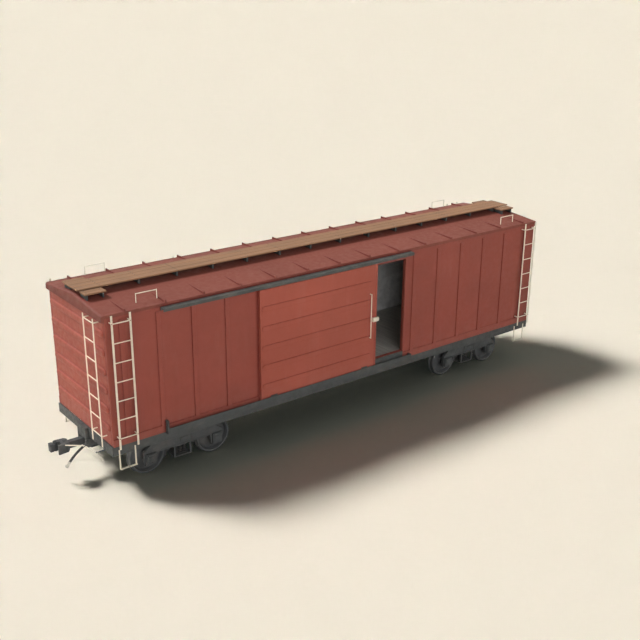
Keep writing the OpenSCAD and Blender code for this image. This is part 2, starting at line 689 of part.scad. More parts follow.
// One wheel at y > 0, turned about its axle: distance from the axle, distance from the middle of the car
module wheel() {
    b = wheel_back/2;
    rotate([-90, 0, 0]) rotate_extrude() polygon([
        [seat_r - 0.05, b + rim_w - 5], [seat_r - 0.05, b - 30], [130, b - 30], [150, b + 45],
        [wheel_r - 45, b], [wheel_r + 12, b], [wheel_r + flange_h, b + 10], [wheel_r + flange_h, b + 24],
        [wheel_r + 8, b + 32], [wheel_r, b + 45], [wheel_r, b + rim_w - 10], [wheel_r - 4, b + rim_w],
        [wheel_r - 45, b + rim_w], [wheel_r - 75, b + 50], [145, b + 90], [130, b + rim_w - 5]]);
}
module wheels(x) { color(dark) translate([x, 0, axle_z]) for (s = [0, 1]) mirror([0, s, 0]) wheel(); }
module axle(x) {
    b = wheel_back/2;
    color(dark) translate([x, 0, axle_z]) rotate([-90, 0, 0]) for (s = [0, 1]) mirror([0, 0, s])
        rotate_extrude() polygon([
            [0, 0], [82, 0], [82, b - 60], [seat_r, b - 30], [seat_r, b + rim_w - 5], [journal_r, b + rim_w + 20],
            [journal_r, frame_y + 70], [0, frame_y + 70]]);
}
module wheels_a1() { wheels(-1*truck_x - axle_x); }
module axle_a1() { axle(-1*truck_x - axle_x); }
module wheels_a2() { wheels(-1*truck_x + axle_x); }
module axle_a2() { axle(-1*truck_x + axle_x); }
module wheels_b1() { wheels(1*truck_x - axle_x); }
module axle_b1() { axle(1*truck_x - axle_x); }
module wheels_b2() { wheels(1*truck_x + axle_x); }
module axle_b2() { axle(1*truck_x + axle_x); }

center_sill();
side_sills();
cross_bearers();
body_bolsters();
end_sills();
strikers();
floor_stringers();
floor();
right_side_wall();
left_side_wall();
end_wall_a();
end_wall_b();
roof();
running_board();
running_board_saddles();
lateral_boards();
right_side_ladders();
left_side_ladders();
end_ladders();
roof_grab_irons();
stirrup_steps();
upper_door_tracks();
lower_door_tracks();
uncoupling_levers();
brake_pipe();
air_hose_a();
air_hose_b();
gladhand_a();
gladhand_b();
brake_cylinder();
air_reservoir();
brake_valve();
hand_brake();
right_door();
right_door_handle();
left_door();
left_door_handle();
coupler_a();
coupler_b();
knuckle_a();
knuckle_b();
side_frames_a();
side_frames_b();
truck_bolster_a();
truck_bolster_b();
truck_springs_a();
truck_springs_b();
wheels_a1();
axle_a1();
wheels_a2();
axle_a2();
wheels_b1();
axle_b1();
wheels_b2();
axle_b2();
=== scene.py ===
"""Looks for the railroad boxcar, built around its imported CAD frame.

Metres, +X along the car, the right side at -Y.
"""
import json
import math
import random

import bmesh
import bpy
from mathutils import Matrix, Vector

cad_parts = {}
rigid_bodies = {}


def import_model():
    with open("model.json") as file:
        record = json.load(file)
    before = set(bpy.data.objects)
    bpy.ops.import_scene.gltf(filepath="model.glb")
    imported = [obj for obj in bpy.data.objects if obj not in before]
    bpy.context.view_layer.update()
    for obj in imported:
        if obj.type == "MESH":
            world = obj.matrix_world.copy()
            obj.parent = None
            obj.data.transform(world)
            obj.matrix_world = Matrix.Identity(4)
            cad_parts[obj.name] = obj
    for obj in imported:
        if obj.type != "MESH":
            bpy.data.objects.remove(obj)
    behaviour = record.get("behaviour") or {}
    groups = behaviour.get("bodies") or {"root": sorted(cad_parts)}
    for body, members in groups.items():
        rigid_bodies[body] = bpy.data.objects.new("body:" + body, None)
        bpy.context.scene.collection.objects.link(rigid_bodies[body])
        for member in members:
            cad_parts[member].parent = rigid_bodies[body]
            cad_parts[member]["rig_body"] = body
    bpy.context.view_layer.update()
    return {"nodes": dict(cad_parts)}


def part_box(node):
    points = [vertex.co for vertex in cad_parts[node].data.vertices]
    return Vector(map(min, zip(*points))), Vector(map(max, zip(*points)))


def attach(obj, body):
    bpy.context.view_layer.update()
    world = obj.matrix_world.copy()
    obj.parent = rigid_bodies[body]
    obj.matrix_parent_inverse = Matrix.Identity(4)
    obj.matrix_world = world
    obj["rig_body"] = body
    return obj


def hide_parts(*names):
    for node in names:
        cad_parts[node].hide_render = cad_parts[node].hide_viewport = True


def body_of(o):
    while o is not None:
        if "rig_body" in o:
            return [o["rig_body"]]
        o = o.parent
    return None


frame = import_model()
NODES = frame["nodes"]
BODY = "car_body"


# ---------------------------------------------------------------- camera
CAMERA_PLACE = (-13.471, -17.295, 10.252)
CAMERA_YAW = math.radians(37.971)      # from +Y towards +X
CAMERA_PITCH = math.radians(20.253)    # down
CAMERA_ROLL = math.radians(0.485)
CAMERA_LENS = 52.54


def add_camera():
    data = bpy.data.cameras.new("camera")
    data.lens = CAMERA_LENS
    data.sensor_width = 36
    data.clip_end = 2000
    camera = bpy.data.objects.new("camera", data)
    bpy.context.scene.collection.objects.link(camera)
    turn = (Matrix.Rotation(-CAMERA_YAW, 4, "Z") @ Matrix.Rotation(math.pi / 2 - CAMERA_PITCH, 4, "X")
            @ Matrix.Rotation(CAMERA_ROLL, 4, "Z"))
    camera.matrix_world = Matrix.Translation(CAMERA_PLACE) @ turn
    bpy.context.scene.camera = camera


add_camera()


# ---------------------------------------------------------------- mesh helpers
def new_object(name, mesh, material, body=BODY, smooth=False):
    obj = bpy.data.objects.new(name, mesh)
    bpy.context.scene.collection.objects.link(obj)
    if material is not None:
        mesh.materials.append(material)
    mesh.polygons.foreach_set("use_smooth", [smooth] * len(mesh.polygons))
    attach(obj, body)
    return obj


def mesh_of(bm, name):
    mesh = bpy.data.meshes.new(name)
    bm.to_mesh(mesh)
    bm.free()
    return mesh


def apply_modifiers(obj):
    graph = bpy.context.evaluated_depsgraph_get()
    mesh = bpy.data.meshes.new_from_object(obj.evaluated_get(graph))
    obj.modifiers.clear()
    obj.data = mesh


# ---------------------------------------------------------------- material nodes
class Shader:
    """A Principled material, with short calls for the nodes that feed it."""

    def __init__(self, name):
        self.material = bpy.data.materials.new(name)
        self.material.use_nodes = True
        self.tree = self.material.node_tree
        self.bsdf = self.tree.nodes["Principled BSDF"]
        self.place = self.tree.nodes.new("ShaderNodeTexCoord").outputs["Object"]

    def node(self, kind, inputs=(), **settings):
        node = self.tree.nodes.new(kind)
        for name, value in settings.items():
            setattr(node, name, value)
        for name, value in dict(inputs).items():
            if isinstance(value, bpy.types.NodeSocket):
                self.tree.links.new(value, node.inputs[name])
            else:
                node.inputs[name].default_value = value
        return node

    def stretched(self, scale):
        return self.node("ShaderNodeMapping", {"Vector": self.place, "Scale": scale}).outputs["Vector"]

    def noise(self, scale, detail=4.0, roughness=0.6, vector=None, distortion=0.0):
        return self.node("ShaderNodeTexNoise", {
            "Vector": vector or self.place, "Scale": scale, "Detail": detail, "Roughness": roughness,
            "Distortion": distortion}).outputs["Fac"]

    def span(self, value, low, high, to_low=0.0, to_high=1.0):
        return self.node("ShaderNodeMapRange", {
            "Value": value, "From Min": low, "From Max": high, "To Min": to_low, "To Max": to_high},
            interpolation_type="SMOOTHSTEP").outputs["Result"]

    def math(self, operation, a, b=0.0):
        node = self.tree.nodes.new("ShaderNodeMath")
        node.operation = operation
        for socket, value in zip(node.inputs, (a, b)):
            if isinstance(value, bpy.types.NodeSocket):
                self.tree.links.new(value, socket)
            else:
                socket.default_value = value
        return node.outputs[0]

    def mix(self, factor, a, b, blend="MIX"):
        node = self.tree.nodes.new("ShaderNodeMix")
        node.data_type = "RGBA"
        node.blend_type = blend
        for socket, value in ((node.inputs[0], factor), (node.inputs[6], a), (node.inputs[7], b)):
            if isinstance(value, bpy.types.NodeSocket):
                self.tree.links.new(value, socket)
            elif isinstance(value, (int, float)):
                socket.default_value = value
            else:
                socket.default_value = (*value[:3], 1.0)
        return node.outputs[2]

    def painted_crease_shade(self, distance, dark):
        """Painted shade from ambient occlusion: 1 in the open, falling to dark in corners and creases."""
        open_sky = self.node("ShaderNodeAmbientOcclusion", {"Distance": distance}, samples=8).outputs["AO"]
        return self.span(open_sky, 0.35, 0.95, dark, 1.0)

    def height(self):
        return self.node("ShaderNodeSeparateXYZ", {"Vector": self.place}).outputs["Z"]

    def finish(self, colour, roughness, bump=None, strength=0.2, metallic=0.0, specular=0.5):
        for name, value in (("Base Color", colour), ("Roughness", roughness)):
            if isinstance(value, bpy.types.NodeSocket):
                self.tree.links.new(value, self.bsdf.inputs[name])
            elif isinstance(value, (int, float)):
                self.bsdf.inputs[name].default_value = value
            else:
                self.bsdf.inputs[name].default_value = (*value, 1.0)
        self.bsdf.inputs["Metallic"].default_value = metallic
        self.bsdf.inputs["Specular IOR Level"].default_value = specular
        if bump is not None:
            normal = self.node("ShaderNodeBump", {"Height": bump, "Strength": strength, "Distance": 0.01})
            self.tree.links.new(normal.outputs["Normal"], self.bsdf.inputs["Normal"])
        return self.material


def shade(colour, factor):
    return tuple(c * factor for c in colour)


def painted(name, colour, roughness=0.5, crease_shade=0.22, crease_shade_reach=0.07, dust=0.04, dust_top=1.9, streak=0.10):
    """Car paint: faded in patches, streaked by rain, dusty low down, with painted shade darkening its
    creases.
    """
    s = Shader(name)
    patches = s.span(s.noise(0.55, 3), 0.35, 0.65)
    tone = s.mix(patches, shade(colour, 0.94), shade(colour, 1.06))
    runs = s.span(s.noise(1.0, 5, vector=s.stretched((7.0, 7.0, 0.35))), 0.5, 0.72, 0.0, streak)
    tone = s.mix(runs, tone, shade(colour, 0.72))
    fading = s.span(s.noise(1.0, 4, vector=s.stretched((3.0, 3.0, 0.5))), 0.55, 0.75, 0.0, 0.05)
    tone = s.mix(fading, tone, (0.40, 0.25, 0.19))
    low = s.math("MULTIPLY", s.span(s.height(), dust_top, 1.15), s.span(s.noise(5.0, 5), 0.35, 0.7, 0.2, 1.0))
    tone = s.mix(s.math("MULTIPLY", low, dust * 2), tone, (0.30, 0.24, 0.19))
    specks = s.span(s.noise(38.0, 3), 0.7, 0.76, 0.0, 0.28)
    tone = s.mix(specks, tone, shade(colour, 0.55))
    # Painted shade: ambient occlusion darkens the creases, less in red, so they come out as dark red lines
    tone = s.mix(1.0, tone, s.node("ShaderNodeCombineColor", {
        "Red": s.painted_crease_shade(crease_shade_reach, crease_shade + 0.33), "Green": s.painted_crease_shade(crease_shade_reach, crease_shade),
        "Blue": s.painted_crease_shade(crease_shade_reach, crease_shade)}).outputs["Color"], "MULTIPLY")
    rough = s.span(s.noise(9.0, 4), 0.3, 0.7, roughness - 0.07, roughness + 0.12)
    grain = s.math("ADD", s.noise(160.0, 2), s.math("MULTIPLY", s.noise(1.6, 2), 2.2))
    return s.finish(tone, rough, grain, 0.05, specular=0.25)


def dark_metal(name, colour, roughness=0.6, bump_scale=70.0, bump=0.18, dust=0.35, metallic=0.0):
    """Black underframe paint or a rough casting, with road dust, a little rust and painted shade in its
    creases.
    """
    s = Shader(name)
    tone = s.mix(s.span(s.noise(3.0, 4), 0.35, 0.65), shade(colour, 0.85), shade(colour, 1.18))
    tone = s.mix(s.span(s.noise(2.2, 6), 0.5, 0.75, 0.0, dust), tone, (0.12, 0.10, 0.08))
    tone = s.mix(s.span(s.noise(14.0, 5), 0.64, 0.74, 0.0, 0.5), tone, (0.085, 0.045, 0.028))
    # Painted shade: darker in corners and creases
    tone = s.mix(1.0, tone, s.node("ShaderNodeCombineColor", {
        c: s.painted_crease_shade(0.08, 0.45) for c in ("Red", "Green", "Blue")}).outputs["Color"], "MULTIPLY")
    rough = s.span(s.noise(11.0, 4), 0.3, 0.7, roughness - 0.1, roughness + 0.12)
    return s.finish(tone, rough, s.noise(bump_scale, 4), bump, metallic)


def planks(name, colour, along=(0.6, 26.0, 26.0), crease_shade=0.5):
    """Weathered boards with the grain along X, with painted shade in their creases."""
    s = Shader(name)
    grain = s.noise(1.0, 6, 0.65, s.stretched(along), 0.6)
    tone = s.mix(s.span(grain, 0.35, 0.68), shade(colour, 0.74), shade(colour, 1.2))
    tone = s.mix(s.span(s.noise(0.9, 4), 0.4, 0.65, 0.0, 0.35), tone, shade(colour, 1.35))
    fine = s.noise(1.0, 3, 0.5, s.stretched(tuple(4 * a for a in along)))
    tone = s.mix(s.span(fine, 0.55, 0.8, 0.0, 0.4), tone, shade(colour, 0.5))
    # Painted shade: darker in corners and creases
    tone = s.mix(1.0, tone, s.node("ShaderNodeCombineColor", {
        c: s.painted_crease_shade(0.05, crease_shade) for c in ("Red", "Green", "Blue")}).outputs["Color"], "MULTIPLY")
    return s.finish(tone, s.span(grain, 0.3, 0.7, 0.62, 0.82), s.math("ADD", grain, fine), 0.25)


def enamel(name, colour):
    """Cream enamel on rods and bars, chipped and a little grimy."""
    s = Shader(name)
    tone = s.mix(s.span(s.noise(4.0, 4), 0.4, 0.65), shade(colour, 0.93), shade(colour, 1.05))
    tone = s.mix(s.span(s.noise(24.0, 5), 0.6, 0.74, 0.0, 0.55), tone, (0.30, 0.24, 0.17))
    tone = s.mix(s.span(s.noise(60.0, 3), 0.72, 0.76, 0.0, 0.7), tone, (0.13, 0.06, 0.035))
    return s.finish(tone, s.span(s.noise(20.0, 3), 0.3, 0.7, 0.38, 0.55), s.noise(90.0, 3), 0.06)


BODY_RED = painted("body_red", (0.216, 0.050, 0.036), crease_shade=0.12, crease_shade_reach=0.085)
# Painted light: the ends get the body's red made lighter, standing for sun on the end; both ends get it
END_RED_PAINTED_LIGHT = painted("end_red_painted_light", (0.262, 0.066, 0.047), crease_shade=0.14)
ROOF_RED = painted("roof_red", (0.168, 0.047, 0.034), roughness=0.62, crease_shade=0.14, crease_shade_reach=0.09,
                   streak=0.06)
# Painted shade: the roof's end faces get a darker red than the roof, standing for shade on the fascia
ROOF_END_SHADE = painted("roof_end_painted_shade", (0.125, 0.035, 0.026), roughness=0.62, crease_shade=0.3, streak=0.2)
DOOR_RED = painted("door_red", (0.283, 0.066, 0.044), crease_shade=0.35)
BLACK = dark_metal("car_cement", (0.040, 0.044, 0.044))
CAST = dark_metal("cast_steel", (0.043, 0.046, 0.047), 0.62, 55.0, 0.3)
DEEP = dark_metal("truck_shadow_steel", (0.020, 0.020, 0.020), 0.8, 55.0, 0.2, dust=0.15)
WHEEL = dark_metal("wheel_steel", (0.047, 0.049, 0.051), 0.5, 90.0, 0.1)
CREAM = enamel("cream_enamel", (0.72, 0.65, 0.51))
BOARD = planks("running_board", (0.215, 0.110, 0.056))
FLOOR_WOOD = planks("floor_boards", (0.33, 0.31, 0.28), along=(26.0, 0.6, 26.0))
INSIDE = dark_metal("inside_grey", (0.70, 0.70, 0.69), 0.8, 30.0, 0.1, dust=0.1)
RUBBER = dark_metal("hose_rubber", (0.022, 0.021, 0.019), 0.7, 120.0, 0.15, dust=0.4)

# The paint of the CAD nodes whose names start like this; the rest are black
PAINTS = {
    "right_side_wall": BODY_RED, "left_side_wall": BODY_RED, "end_wall": END_RED_PAINTED_LIGHT, "roof_grab": CREAM,
    "roof": ROOF_RED, "right_door_handle": CREAM, "left_door_handle": CREAM, "right_door": DOOR_RED,
    "left_door": DOOR_RED, "running_board_saddles": BLACK, "running_board": BOARD, "lateral_boards": BOARD,
    "floor": FLOOR_WOOD, "right_side_ladders": CREAM, "left_side_ladders": CREAM, "end_ladders": CREAM,
    "stirrup": CREAM, "uncoupling": CREAM, "gladhand": CREAM, "wheels": WHEEL, "axle": WHEEL,
    "side_frames": CAST, "truck": CAST, "coupler": CAST, "knuckle": CAST, "air_hose": RUBBER}
for node_name, node in NODES.items():
    paint = next((PAINTS[start] for start in PAINTS if node_name.startswith(start)), BLACK)
    node.data.materials.clear()
    node.data.materials.append(paint)


# ---------------------------------------------------------------- sizes, metres
END_X = 6.335            # outer face of the end sheets
SHEET_Y = 1.3475         # outer face of the side sheets
POST_OUT = 0.025         # how far the posts stand out of the sheets
WALL_Y = 1.2675          # inner face of the side walls
WALL_X = 6.255           # inner face of the end walls
WALL_FOOT = 1.18
WALL_TOP = 3.97
DOORWAY_X = 1.6
THRESHOLD_Z = 1.40
DOORWAY_TOP = 3.80
POSTS = [1.91 + 0.816 * i for i in range(6)]
SEAMS = [0.906 * (i - 6.5) for i in range(14)]
TRUCK_X = 4.5
AXLE_X = 0.83
AXLE_Z = 0.444
FRAME_FACE = 0.975       # outer face of a truck's side frame
COUPLER_Z = 0.825
JOURNAL_Y = 0.835        # the journals start here
JOURNAL_SLACK = 0.02     # share of their radius that keeps the drawn journals clear of their bores
JOURNAL_FACE = 1.020     # outer face of a journal box
SPRING_Y = 0.75
SPRING_X = (-0.105, 0.0, 0.105)
SHOE_Y = 0.733           # inner face of a brake shoe
DOOR_TOP = 3.87
DOOR_GAP = 0.010         # between a door and the posts
DOOR_THICK = 0.068
LADDER_X = 6.04
LADDER_HALF = 0.2
TOP_RUNG_Z = 3.88
RUNG_PITCH = 0.414
RUNG_COUNT = 7
BOARD_TOP = 4.297        # the running board's planks, without their bolt heads
BOARD_THICK = 0.032
BOARD_HALF = 0.30
BOARD_END = 6.4
RIVET_PITCH = 0.102


# ---------------------------------------------------------------- detail pieces
class Piece:
    """Simple solids gathered into one mesh."""

    def __init__(self):
        self.bm = bmesh.new()

    def block(self, x, y, z):
        place = Matrix.Translation([(a + b) / 2 for a, b in (x, y, z)])
        size = Matrix.Diagonal([abs(b - a) for a, b in (x, y, z)] + [1])
        bmesh.ops.create_cube(self.bm, size=1, matrix=place @ size)

    def rod(self, start, end, radius, sides=20, tip=None):
        start, end = Vector(start), Vector(end)
        way = end - start
        turn = way.to_track_quat("Z", "Y").to_matrix().to_4x4()
        bmesh.ops.create_cone(self.bm, cap_ends=True, segments=sides, radius1=radius,
                              radius2=radius if tip is None else tip, depth=way.length,
                              matrix=Matrix.Translation((start + end) / 2) @ turn)

    def rivet(self, place, outward, radius=0.010, height=0.0045):
        """A low dome on a face."""
        place, outward = Vector(place), Vector(outward)
        self.rod(place - outward * 0.002, place + outward * height * 0.6, radius, 8, radius * 0.8)
        self.rod(place + outward * height * 0.6, place + outward * height, radius * 0.8, 8, radius * 0.35)

    def bolt(self, place, outward, radius=0.012, height=0.012):
        place, outward = Vector(place), Vector(outward)
        self.rod(place, place + outward * height, radius, 6)

    def tube(self, path, radius, sides=12):
        """A round bar along a smooth path."""
        points = [Vector(p) for p in path]
        count = len(points)
        side = None
        rings = []
        for i, point in enumerate(points):
            before = points[max(i - 1, 0)]
            after = points[min(i + 1, count - 1)]
            way = (after - before).normalized()
            if side is None:
                side = way.orthogonal().normalized()
            side = (side - way * side.dot(way)).normalized()
            up = way.cross(side)
            rings.append([self.bm.verts.new(point + (side * math.cos(t) + up * math.sin(t)) * radius)
                          for t in (2 * math.pi * k / sides for k in range(sides))])
        for low, high in zip(rings, rings[1:]):
            for k in range(sides):
                self.bm.faces.new((low[k], low[(k + 1) % sides], high[(k + 1) % sides], high[k]))
        self.bm.faces.new(list(reversed(rings[0])))
        self.bm.faces.new(rings[-1])

    def outline(self, points, low, high):
        """An outline in X and Z, drawn out between two places along Y."""
        near = [self.bm.verts.new((x, low, z)) for x, z in points]
        far = [self.bm.verts.new((x, high, z)) for x, z in points]
        self.bm.faces.new(near)
        self.bm.faces.new(list(reversed(far)))
        for i in range(len(points)):
            j = (i + 1) % len(points)
            self.bm.faces.new((near[i], far[i], far[j], near[j]))

    def mirrored(self, x=False, y=False):
        """Adds a copy of everything so far, mirrored."""
        whole = self.bm.verts[:] + self.bm.edges[:] + self.bm.faces[:]
        copy = bmesh.ops.duplicate(self.bm, geom=whole)["geom"]
        verts = [g for g in copy if isinstance(g, bmesh.types.BMVert)]
        bmesh.ops.scale(self.bm, vec=(-1 if x else 1, -1 if y else 1, 1), verts=verts)
        if x != y:
            bmesh.ops.reverse_faces(self.bm, faces=[g for g in copy if isinstance(g, bmesh.types.BMFace)])

    def make(self, name, material, body=BODY, bevel=0.0, segments=2):
        bmesh.ops.recalc_face_normals(self.bm, faces=self.bm.faces[:])
        obj = new_object(name, mesh_of(self.bm, name), material, body, smooth=True)
        soften(obj, bevel, segments)
        return obj


SHARP = math.radians(28)         # edges sharper than this are rounded
CORNER = math.radians(50)        # and without rounding, edges sharper than this stay hard


def soften(obj, width, segments=2):
    """Rounds the sharp edges and evens the normals."""
    if width > 0:
        bevel = obj.modifiers.new("bevel", "BEVEL")
        bevel.width = width
        bevel.segments = segments
        bevel.limit_method = "ANGLE"
        bevel.angle_limit = SHARP
    normals = obj.modifiers.new("normals", "WEIGHTED_NORMAL")
    normals.keep_sharp = True
    edges_sharp_above(obj.data, CORNER if width == 0 else math.pi)
    apply_modifiers(obj)


def edges_sharp_above(mesh, limit):
    bm = bmesh.new()
    bm.from_mesh(mesh)
    for edge in bm.edges:
        edge.smooth = len(edge.link_faces) != 2 or edge.calc_face_angle(0) < limit
    bm.to_mesh(mesh)
    bm.free()


def softened(node_name, width, segments=2, ends=None, inside=None, edge=None):
    """A copy of a CAD node with rounded edges, which stands for it.

    ends is a filter, a width and a number of segments for edges that are rounded more. inside and edge pick
    the faces of the lining and of the roof's end."""
    node = NODES[node_name]
    bm = bmesh.new()
    bm.from_mesh(node.data)
    bmesh.ops.remove_doubles(bm, verts=bm.verts[:], dist=1e-5)
    bmesh.ops.dissolve_limit(bm, angle_limit=math.radians(1.0), verts=bm.verts[:], edges=bm.edges[:])
    if ends is not None:
        chosen = [e for e in bm.edges if len(e.link_faces) == 2 and e.calc_face_angle(0) > math.radians(20)
                  and all(ends[0](v.co) for v in e.verts)]
        bmesh.ops.bevel(bm, geom=chosen, offset=ends[1], segments=ends[2], profile=0.5, affect="EDGES",
                        clamp_overlap=True)
    mesh = mesh_of(bm, node_name + "_soft")
    for material in node.data.materials:
        mesh.materials.append(material)
    obj = new_object(node_name + "_body", mesh, None, body_of(node)[0], smooth=True)
    soften(obj, width, segments)
    for paint, chosen in ((INSIDE, inside), (ROOF_END_SHADE, edge)):
        if chosen is not None:
            obj.data.materials.append(paint)
            for face in obj.data.polygons:
                if chosen(face.center, face.normal):
                    face.material_index = len(obj.data.materials) - 1
    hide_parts(node_name)
    return obj


def rounded(points, radius, steps=5):
    """A path with its corners rounded."""
    points = [Vector(p) for p in points]
    path = [points[0]]
    for before, corner, after in zip(points, points[1:], points[2:]):
        reach = min(radius, (before - corner).length * 0.45, (after - corner).length * 0.45)
        start = corner + (before - corner).normalized() * reach
        end = corner + (after - corner).normalized() * reach
        for i in range(steps + 1):
            t = i / steps
            path.append(start * (1 - t) ** 2 + corner * 2 * t * (1 - t) + end * t ** 2)
    path.append(points[-1])
    return path


# ---------------------------------------------------------------- brake hoses
HOSE_Y = 0.3
HOSE_RADIUS = 0.027
# Distance from the end sheet, height: the hose hangs from its pipe in one long bend
HOSE = [(0.190, 0.845), (0.218, 0.830), (0.246, 0.814), (0.273, 0.798), (0.300, 0.780), (0.327, 0.762),
        (0.353, 0.743), (0.378, 0.724), (0.403, 0.704), (0.427, 0.683), (0.451, 0.661), (0.474, 0.639),
        (0.496, 0.616), (0.518, 0.593), (0.539, 0.569), (0.559, 0.544)]


def add_hose(end, s):
    path = [Vector((s * (END_X + u), s * HOSE_Y, z)) for u, z in HOSE]
    p = Piece()
    p.tube(path, HOSE_RADIUS, 24)
    hose = p.make("brake_hose_" + end, RUBBER)
    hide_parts("air_hose_" + end)
    way = (path[-1] - path[-2]).normalized()
    tip = path[-1]
    side = Vector((0, s, 0))
    out = way.cross(side).normalized() * -s
    g = Piece()
    g.rod(tip - way * 0.035, tip + way * 0.012, 0.031, 24)
    g.rod(tip + way * 0.010, tip + way * 0.060, 0.024, 20)
    g.rod(tip + way * 0.048, tip + way * 0.060, 0.034, 6)
    neck = [tip + way * 0.055, tip + way * 0.075 + side * 0.004, tip + way * 0.082 + side * 0.006]
    g.tube(neck, 0.022, 16)
    g.rod(tip + way * 0.078 - out * 0.018, tip + way * 0.078 + out * 0.026, 0.032, 28)
    g.rod(tip + way * 0.078 + out * 0.026, tip + way * 0.078 + out * 0.036, 0.026, 28)
    hand = g.make("hose_coupling_" + end, HAND, bevel=0.002)
    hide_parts("gladhand_" + end)
    clamp = Piece()
    start = (path[1] - path[0]).normalized()
    for at in (0.020, 0.045):
        place = path[0] + start * at
        clamp.rod(place - start * 0.006, place + start * 0.006, HOSE_RADIUS + 0.003, 28)
    clamp.block(sorted((path[0].x + s * 0.010, path[0].x + s * 0.030)), sorted((s * 0.330, s * 0.344)),
                (0.834, 0.850))
    clamp.make("hose_clamp_" + end, BLACK, bevel=0.001)


HAND = enamel("coupling_metal", (0.60, 0.55, 0.45))
add_hose("a", -1)
add_hose("b", 1)


# ---------------------------------------------------------------- the CAD pieces, softened
def wall_lining(centre, normal):
    return abs(centre.y) < WALL_Y + 0.002 and abs(centre.x) < WALL_X + 0.002


for side in ("right", "left"):
    softened(side + "_side_wall", 0.006, 2, inside=wall_lining)
for end in ("a", "b"):
    softened("end_wall_" + end, 0.004, 1, inside=wall_lining,
             ends=(lambda v: abs(v.x) > END_X + 0.04, 0.038, 4))
# The roof's end faces get the darker red of painted shade
softened("roof", 0.005, 2, ends=(lambda v: abs(v.x) > END_X + 0.06 and v.z > WALL_TOP + 0.05, 0.045, 4),
         inside=lambda c, n: abs(c.x) < WALL_X + 0.01 and abs(c.y) < WALL_Y + 0.01 and n.z < 0,
         edge=lambda c, n: abs(c.x) > END_X + 0.02 and abs(n.x) > 0.5)
for side in ("right", "left"):
    softened(side + "_door", 0.007, 3)
    softened(side + "_door_handle", 0.003, 2)
    softened(side + "_side_ladders", 0.003, 2)
for name in ("end_ladders", "stirrup_steps", "roof_grab_irons"):
    softened(name, 0.003, 2)
for name in ("center_sill", "side_sills", "cross_bearers", "body_bolsters", "end_sills", "strikers",
             "upper_door_tracks", "lower_door_tracks", "running_board_saddles"):
    softened(name, 0.003, 2)
for name in ("brake_cylinder", "air_reservoir", "brake_valve", "brake_pipe", "hand_brake"):
    softened(name, 0.006, 2)
for end in ("a", "b"):
    softened("coupler_" + end, 0.011, 3)
    softened("knuckle_" + end, 0.010, 3)
    softened("side_frames_" + end, 0.009, 3)
    softened("truck_bolster_" + end, 0.010, 2)
    for k in ("1", "2"):
        softened("wheels_" + end + k, 0.005, 2)
        axle = softened("axle_" + end + k, 0.004, 2)
        low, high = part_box("axle_" + end + k)
        for v in axle.data.vertices:
            if abs(v.co.y) > JOURNAL_Y:
                v.co.x += ((low.x + high.x) / 2 - v.co.x) * JOURNAL_SLACK
                v.co.z += (AXLE_Z - v.co.z) * JOURNAL_SLACK


# ---------------------------------------------------------------- added detail
def add_side_rivets():
    """Rivets along the posts, the foot and the head of both side walls."""
    p = Piece()
    post_face = SHEET_Y + POST_OUT
    out = (0, -1, 0)
    for x in POSTS:
        for s in (-1, 1):
            for edge in (-0.033, 0.033):
                for i in range(26):
                    p.rivet((s * x + edge, -post_face, WALL_FOOT + 0.06 + RIVET_PITCH * i), out)
    for i in range(-60, 61):
        x = i * 0.1045
        p.rivet((x, -SHEET_Y, WALL_TOP - 0.035), out)
        if abs(x) > DOORWAY_X + 0.05:
            p.rivet((x, -post_face, WALL_FOOT + 0.03), out)
    for s in (-1, 1):
        for i in range(27):
            p.rivet((s * (END_X - 0.03), -SHEET_Y, WALL_FOOT + 0.2 + RIVET_PITCH * i), out)
    p.mirrored(y=True)
    return p.make("side_rivets", BODY_RED)


def add_end_rivets():
    p = Piece()
    out = (1, 0, 0)
    for y in (-1.31, 1.31):
        for i in range(27):
            p.rivet((END_X, y, WALL_FOOT + 0.06 + RIVET_PITCH * i), out)
    for i in range(-12, 13):
        p.rivet((END_X, i * 0.104, WALL_FOOT + 0.05), out)
        p.rivet((END_X, i * 0.104, WALL_TOP - 0.11), out)
    p.mirrored(x=True)
    return p.make("end_rivets", END_RED_PAINTED_LIGHT)


def add_door_frames():
    """Angles round the doorways, and black sill plates below the thresholds that are painted shade for the
    gap under each doorway.
    """
    frame_angle = Piece()
    face = SHEET_Y + 0.021
    for s in (-1, 1):
        frame_angle.block(sorted((s * DOORWAY_X, s * (DOORWAY_X + 0.055))), (-face, -SHEET_Y + 0.01),
                          (THRESHOLD_Z - 0.05, DOORWAY_TOP + 0.05))
    frame_angle.block((-DOORWAY_X, DOORWAY_X), (-face, -SHEET_Y + 0.01), (DOORWAY_TOP, DOORWAY_TOP + 0.05))
    frame_angle.mirrored(y=True)
    frame_angle.make("doorway_angles", BODY_RED, bevel=0.004)
    # Painted shade: a black plate over the wall's foot where the gap under the threshold lies in shade
    sill = Piece()
    sill.block((-DOORWAY_X, DOORWAY_X), (-SHEET_Y - POST_OUT - 0.006, -SHEET_Y), (WALL_FOOT + 0.004, 1.385))
    sill.mirrored(y=True)
    sill.make("doorway_sill_shade_plates", BLACK, bevel=0.003)


def add_floor_boards():
    p = Piece()
    width = 0.149
    for i in range(84):
        x = -WALL_X + i * width
        p.block((x + 0.002, min(x + width - 0.002, WALL_X)), (-WALL_Y, WALL_Y), (1.32, 1.38))
    obj = p.make("floor_boards", FLOOR_WOOD, bevel=0.003, segments=1)
    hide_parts("floor")


